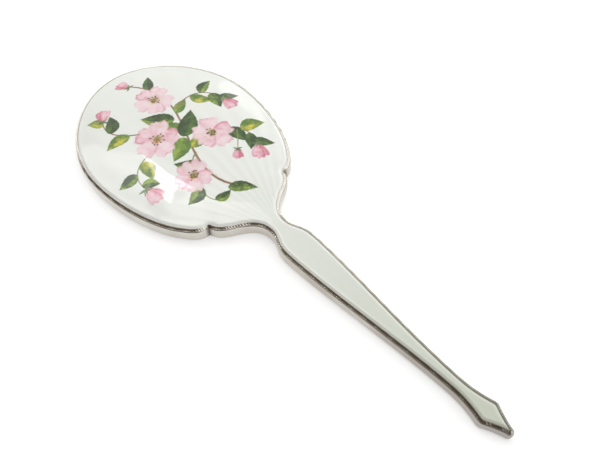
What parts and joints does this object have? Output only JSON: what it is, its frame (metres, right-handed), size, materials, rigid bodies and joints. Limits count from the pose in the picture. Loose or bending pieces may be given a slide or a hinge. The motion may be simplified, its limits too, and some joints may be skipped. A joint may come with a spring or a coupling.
{
  "type": "hand mirror",
  "caption": "Oval hand mirror with a pressed metal case, bevelled glass in a bezel, and a domed back of painted translucent enamel in an engraved border.",
  "frame": {"origin": "middle of the bounding box's bottom face, in the plane that the front of the mirror rests on", "axes": "+X runs from the head towards the handle's tip, +Z points out of the enamelled back, and the mirror lies on its front"},
  "size_m": [0.28, 0.102, 0.0133],
  "materials": {
    "silver_case": "polished silver, lightly tarnished",
    "silver_border": "bright-cut silver with tarnish in the cuts",
    "engine_turned_plate": "engine-turned silver",
    "enamel": "polished translucent enamel with a painted blossom spray",
    "bezel_metal": "polished silver plate",
    "glass": "polished, bevelled",
    "silvering": "mirror coat",
    "card": "plain grey-brown board",
    "wood": "planed hardwood, unfinished",
    "filler": "cast composition, matt",
    "steel": "plain strip",
    "brass": "plain"
  },
  "bodies": {
    "root": {"front_case": "silver_case", "engraved_border": "silver_border", "back_plate": "engine_turned_plate", "back_enamel": "enamel", "glass_bezel": "bezel_metal", "mirror_glass": "glass", "mirror_silvering": "silvering", "packing_card": "card", "head_board": "wood", "head_filler": "filler", "handle_core": "wood", "neck_tang": "steel", "tang_rivet_1": "brass", "tang_rivet_2": "brass", "tang_nail_1": "brass", "tang_nail_2": "brass"}
  },
  "joints": []
}
